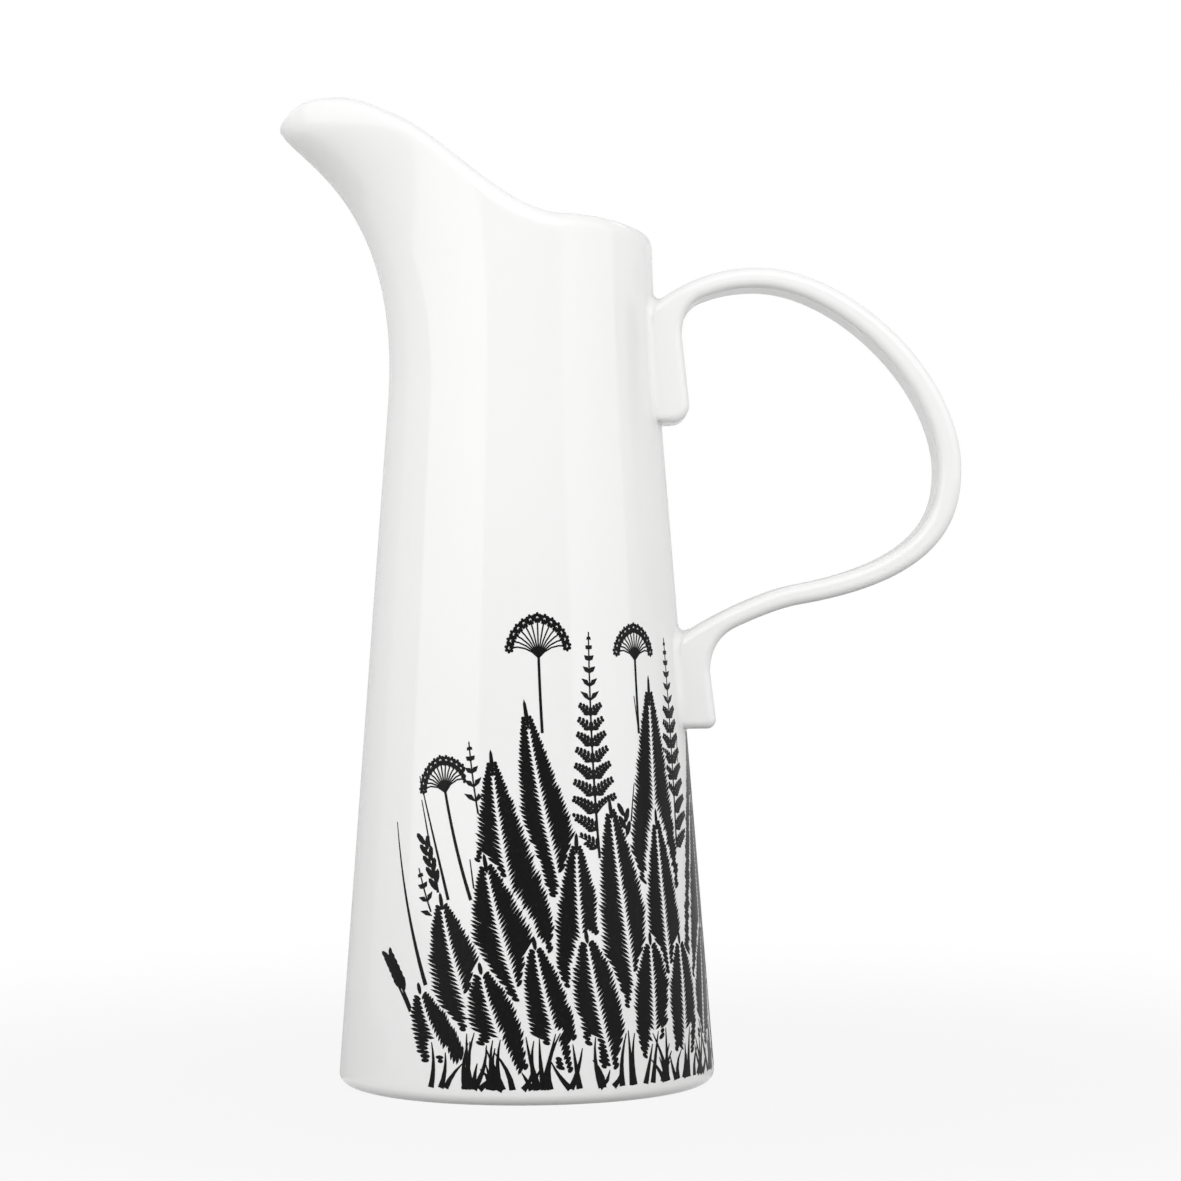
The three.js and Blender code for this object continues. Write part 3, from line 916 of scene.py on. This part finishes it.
def draw_umbel(bm, base, top, bow, spread):
    """A flower head: rays from the top of a stalk, each with a small ring of florets."""
    at = stem(base, top, bow)
    ribbon(bm, at, lambda t: lerp(*UMBEL_STALK, t))
    crown, way = at(1)
    for i in range(UMBEL_RAYS):
        lean = lerp(-UMBEL_LEAN, UMBEL_LEAN, i / (UMBEL_RAYS - 1))
        ray_way = turned(way, lean)
        ray = stem(crown, crown + ray_way * spread * (1 - RAY_LOSS * abs(lean)), -RAY_BOW * lean)
        ribbon(bm, ray, lambda t: RAY_WIDTH)
        middle = ray(1)[0]
        for k in range(FLORETS):
            out = turned(ray_way, k / FLORETS * math.tau)
            if free(middle + out * FLORET_END):
                lens(bm, middle + out * FLORET_START, middle + out * FLORET_END, FLORET_WIDTH)


def draw_grass(bm, base, tip, bow, width, seeds):
    """A blade that tapers to its tip, or a stalk with seeds along its top."""
    at = stem(base, tip, bow)
    ribbon(bm, at, lambda t: width * (1 - BLADE_TAPER * t))
    for k in range(seeds):
        point, way = at(1 - SEED_SPACING * k)
        end = point + turned(way, (-1) ** k * SEED_ANGLE) * SEED_LENGTH
        if free(point) and free(end):
            lens(bm, point, end, SEED_WIDTH)


def lay_on_wall(name, bm):
    """Cuts the flat drawing where it bends, gives the ink its thickness and wraps it on the wall."""
    left = math.floor(min(v.co.x for v in bm.verts) / FACET)
    right = math.ceil(max(v.co.x for v in bm.verts) / FACET)
    for i in range(left, right + 1):
        bmesh.ops.bisect_plane(bm, geom=bm.verts[:] + bm.edges[:] + bm.faces[:], dist=CUT_CATCH,
                               plane_co=(i * FACET, 0, 0), plane_no=(1, 0, 0))
    raised = bmesh.ops.extrude_face_region(bm, geom=bm.faces[:])["geom"]
    bmesh.ops.translate(bm, vec=(0, 0, INK_THICKNESS),
                        verts=[v for v in raised if isinstance(v, bmesh.types.BMVert)])
    for vert in bm.verts:
        angle = vert.co.x * MM / PRINT_RADIUS - math.pi / 2
        height = vert.co.y * MM
        radius = body_radius(height) + (vert.co.z - INK_SINK) * MM
        vert.co = (radius * math.cos(angle), radius * math.sin(angle), height)
    finished(name, bm, INK)


def print_tufts():
    """Short grass along the foot, in front of everything."""
    tufts = bmesh.new()
    blades = []
    for _ in range(TUFT_COUNT):
        x = rng.uniform(*GRASS_SPREAD)
        tip = (x + rng.uniform(-TUFT_LEAN, TUFT_LEAN), rng.uniform(*TUFT_HEIGHTS))
        blades.append(((x, PRINT_FOOT + GRAIN), tip, rng.uniform(-TUFT_BOW, TUFT_BOW)))
        draw_grass(tufts, *blades[-1], TUFT_WIDTH, 0)
    for blade in blades:
        cover(stem(*blade), lambda t: TUFT_COVER * (1 - t))
    lay_on_wall("tuft_print", tufts)


def print_leaves(row, count, left, right, length, width, loss, lean):
    """One row of leaves, which fans out from the clump's middle."""
    leaves = bmesh.new()
    for i in sorted(range(count), key=lambda i: (i * LEAF_STRIDE + row) % count):
        x = lerp(left, right, i / (count - 1))
        off = (x - CLUMP_MIDDLE) / (right - CLUMP_MIDDLE)
        angle = math.radians(lean * off + rng.uniform(-LEAN_SPREAD, LEAN_SPREAD))
        reach = length * (1 - loss * off**2) * rng.uniform(*LENGTH_SPREAD)
        tip = (x + reach * math.sin(angle), PRINT_FOOT + reach * math.cos(angle))
        bow = -LEAF_BOW * off + rng.uniform(-BOW_SPREAD, BOW_SPREAD)
        draw_leaf(leaves, (x, PRINT_FOOT), tip, bow, width * rng.uniform(*WIDTH_SPREAD))
    lay_on_wall(f"leaf_print_{row + 1}", leaves)


def print_grasses():
    """Flower heads and tall grass, behind the leaves and the ferns."""
    grasses = bmesh.new()
    for umbel in UMBELS:
        draw_umbel(grasses, *umbel)
    for i in range(GRASS_COUNT):
        x = rng.uniform(*GRASS_SPREAD)
        off = x - CLUMP_MIDDLE
        lean = rng.uniform(-GRASS_LEAN, GRASS_LEAN) + off * GRASS_SPLAY
        tip = (x + lean, rng.uniform(*GRASS_HEIGHTS) * (1 - (off / GRASS_FALL) ** 2))
        bow = rng.uniform(-GRASS_BOW, GRASS_BOW)
        draw_grass(grasses, (x, PRINT_FOOT), tip, bow, GRASS_WIDTH, 0 if i % SEEDED_EVERY else SEEDS)
    lay_on_wall("grass_and_flower_print", grasses)


# What stands in front is drawn first.
print_tufts()
for row, leaf_row in enumerate(LEAF_ROWS):
    print_leaves(row, *leaf_row)
for i, fern in enumerate(FERNS):
    frond = bmesh.new()
    draw_fern(frond, *fern)
    lay_on_wall(f"fern_print_{i + 1}", frond)
print_grasses()


# Studio, in metres

CAMERA_DISTANCE = 1010.6 * MM
CAMERA_HEIGHT = 140.4 * MM
CAMERA_X = AXIS_X + 18.83 * MM
CAMERA_ROLL = -0.0043  # in radians
IMAGE_WIDTH_AT_JUG = 339.1 * MM
SENSOR = 36.0
TENT_GLOW = 1.24  # around the jug
TENT_TOP_GLOW = 0.1  # and overhead
FLOOR_HALF = 4
FLOOR_DROP = 0.05 * MM  # just under the foot
FLOOR_NEAR = 0.1  # up to this distance from the middle the floor is at its greyest, where its painted shade is strongest
FLOOR_WHITE = 0.45  # from here on it is white to the camera
PAINTED_SHADE_END = 0.6  # and from here on its paper is at its palest, past the painted shade
NEAR_WHITENESS = 0.9  # the share of white near the jug, which leaves the shadow in sight
CARD_WIDTH = 1.4
CARD_DROP = FLOOR_DROP / 2  # just over the floor
CARD_BACK = 0.3  # where the card is folded upwards
CARD_TOP = 0.5
# Each softbox: its place, its width and height, and its watts
SOFTBOXES = {
    "front_softbox": ((0, -1.1, 0.95), (1.6, 1.0), 6.0),
    "left_softbox": ((-1.2, -0.75, 0.7), (1.5, 1.3), 6.2),
    "right_softbox": ((1.2, -0.7, 0.7), (1.5, 1.3), 5.1),
    "back_softbox": ((0.2, 1.2, 0.7), (1.5, 1.0), 4.4),
}


def make_camera():
    data = bpy.data.cameras.new("camera")
    data.sensor_width = SENSOR
    data.lens = SENSOR * CAMERA_DISTANCE / IMAGE_WIDTH_AT_JUG
    camera = bpy.data.objects.new("camera", data)
    place = Matrix.Translation((CAMERA_X, -CAMERA_DISTANCE, CAMERA_HEIGHT))
    upright = Matrix.Rotation(math.pi / 2, 4, "X")
    roll = Matrix.Rotation(CAMERA_ROLL, 4, "Z")
    camera.matrix_world = place @ upright @ roll
    bpy.context.scene.collection.objects.link(camera)
    bpy.context.scene.camera = camera


def seen_directly(tree):
    """1 for what the camera sees, in the glaze too, and 0 for what lights the jug."""
    path = node(tree, "ShaderNodeLightPath").outputs
    bounced = node(tree, "ShaderNodeMath", {"operation": "MAXIMUM"}, i0=path["Is Glossy Ray"],
                   i1=path["Is Transmission Ray"])
    return node(tree, "ShaderNodeMath", {"operation": "MAXIMUM"}, i0=path["Is Camera Ray"],
                i1=bounced.outputs[0]).outputs[0]


def floor_with_painted_shade():
    """Matt grey paper with painted shade, darkest near the jug so that its bounce shades the jug's lower
    wall, paler away from it, and white to the camera further off.
    """
    material, tree = new_material("floor_with_painted_shade")
    place = node(tree, "ShaderNodeTexCoord").outputs["Object"]
    far = node(tree, "ShaderNodeVectorMath", {"operation": "LENGTH"}, i0=place).outputs["Value"]
    whiteness = node(tree, "ShaderNodeMapRange", {"interpolation_type": "SMOOTHSTEP"}, Value=far,
                     From_Min=FLOOR_NEAR, From_Max=FLOOR_WHITE, To_Min=NEAR_WHITENESS, To_Max=1.0)
    spread = node(tree, "ShaderNodeMapRange", {"interpolation_type": "SMOOTHSTEP"}, Value=far,
                  From_Min=FLOOR_NEAR, From_Max=PAINTED_SHADE_END)
    # Painted shade: the paper is darker near the jug, so that less light bounces onto the jug's lower
    # wall
    painted_shade_tone = node(tree, "ShaderNodeMix", {"data_type": "RGBA"}, i0=spread.outputs["Result"],
                i6=linear("#8E8E8D"), i7=linear("#CBCBCA"))
    paper = node(tree, "ShaderNodeBsdfDiffuse", Color=painted_shade_tone.outputs["Result"])
    white = node(tree, "ShaderNodeEmission", Color=linear("#FFFFFF"), Strength=1.0)
    share = node(tree, "ShaderNodeMath", {"operation": "MULTIPLY"}, i0=seen_directly(tree),
                 i1=whiteness.outputs["Result"])
    mixed = node(tree, "ShaderNodeMixShader", i0=share.outputs[0], i1=paper.outputs[0],
                 i2=white.outputs[0])
    node(tree, "ShaderNodeOutputMaterial", Surface=mixed.outputs[0])
    return material


def make_floor():
    bm = bmesh.new()
    bmesh.ops.create_grid(bm, x_segments=1, y_segments=1, size=FLOOR_HALF)
    bmesh.ops.translate(bm, verts=bm.verts, vec=(0, 0, -FLOOR_DROP))
    floor = linked("floor", bm, floor_with_painted_shade())


def painted_reflection_grey():
    """Plain pale grey card, with no gloss, seen only in the glaze as a painted reflection."""
    material, tree = new_material("painted_reflection_grey")
    card = node(tree, "ShaderNodeBsdfDiffuse", Color=linear("#DEDEDE"))
    node(tree, "ShaderNodeOutputMaterial", Surface=card.outputs[0])
    return material


def make_card():
    """A card that lies on the floor behind the jug and is folded up at the back.

    It shows only in the glaze, as a painted grey reflection that darkens the edges of the white jug.
    """
    rows = [(0, -CARD_DROP), (CARD_BACK, -CARD_DROP), (CARD_BACK, CARD_TOP)]
    bm = bmesh.new()
    bmesh.ops.create_grid(bm, x_segments=1, y_segments=len(rows) - 1, size=UNIT_HALF)
    for vert in bm.verts:
        depth, height = rows[round((vert.co.y + UNIT_HALF) * (len(rows) - 1))]
        vert.co = (vert.co.x * CARD_WIDTH, depth, height)
    reflection_only_card = linked("reflection_only_card", bm, painted_reflection_grey())
    # Painted reflection: hidden from the camera, from diffuse light and from shadows, the card only
    # darkens the glaze at the jug's edges
    reflection_only_card.visible_camera = False
    reflection_only_card.visible_diffuse = False
    reflection_only_card.visible_shadow = False


def make_world():
    """White behind the jug, and the glow of a light tent around it."""
    world = bpy.data.worlds.new("studio")
    world.use_nodes = True
    tree = world.node_tree
    tree.nodes.clear()
    way = node(tree, "ShaderNodeTexCoord").outputs["Generated"]
    up = node(tree, "ShaderNodeSeparateXYZ", Vector=way).outputs["Z"]
    tent = node(tree, "ShaderNodeMapRange", Value=up, To_Min=TENT_GLOW, To_Max=TENT_TOP_GLOW)
    glow = node(tree, "ShaderNodeMapRange", Value=seen_directly(tree), To_Min=tent.outputs["Result"],
                To_Max=1.0)
    back = node(tree, "ShaderNodeBackground", Color=linear("#FFFFFF"), Strength=glow.outputs["Result"])
    node(tree, "ShaderNodeOutputWorld", Surface=back.outputs[0])
    bpy.context.scene.world = world


def make_softbox(name, place, size, watts):
    """A wide lamp that faces the middle of the jug."""
    data = bpy.data.lights.new(name, "AREA")
    data.shape = "RECTANGLE"
    data.size, data.size_y = size
    data.energy = watts
    lamp = bpy.data.objects.new(name, data)
    lamp.visible_camera = False
    aim = Vector((AXIS_X, 0, RIM_TOP_HEIGHT / 2)) - Vector(place)
    lamp.matrix_world = Matrix.Translation(place) @ aim.to_track_quat("-Z", "Y").to_matrix().to_4x4()
    bpy.context.scene.collection.objects.link(lamp)


make_camera()
make_floor()
make_card()
make_world()
for name, setup in SOFTBOXES.items():
    make_softbox(name, *setup)

bpy.context.scene.view_settings.view_transform = "Standard"
